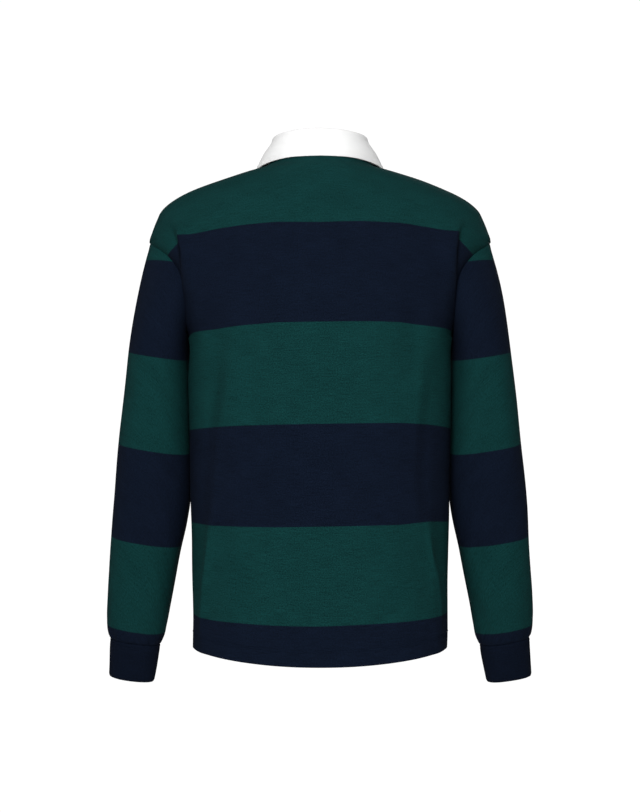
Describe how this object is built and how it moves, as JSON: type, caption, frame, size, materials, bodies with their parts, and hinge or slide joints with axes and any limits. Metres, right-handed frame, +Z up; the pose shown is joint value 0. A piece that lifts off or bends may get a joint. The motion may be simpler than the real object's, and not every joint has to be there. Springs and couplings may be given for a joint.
{
  "type": "long-sleeved rugby polo shirt",
  "caption": "Long-sleeved rugby polo shirt in wide dark green and navy stripes with a white collar, filled out as if worn, open at neck, hem and cuffs.",
  "frame": {"origin": "middle of the neck opening, level with the high points of the shoulders, where the wearer holds the shirt up", "axes": "+Z up along the back, -Y out of the shirt's front, +X to the wearer's left"},
  "size_m": [0.6298, 0.2742, 0.8003],
  "materials": {
    "jersey": "heavy cotton jersey in dark green and navy bands",
    "cuff_jersey": "plain navy jersey, doubled",
    "collar_twill": "white cotton twill",
    "button": "off-white, satin"
  },
  "bodies": {
    "root": {"back": "jersey", "front": "jersey", "sleeve_left": "jersey", "sleeve_right": "jersey", "cuff_left": "cuff_jersey", "cuff_right": "cuff_jersey", "collar": "collar_twill", "placket_over": "collar_twill", "placket_under": "collar_twill", "button_1": "button", "button_2": "button", "button_3": "button"}
  },
  "joints": []
}
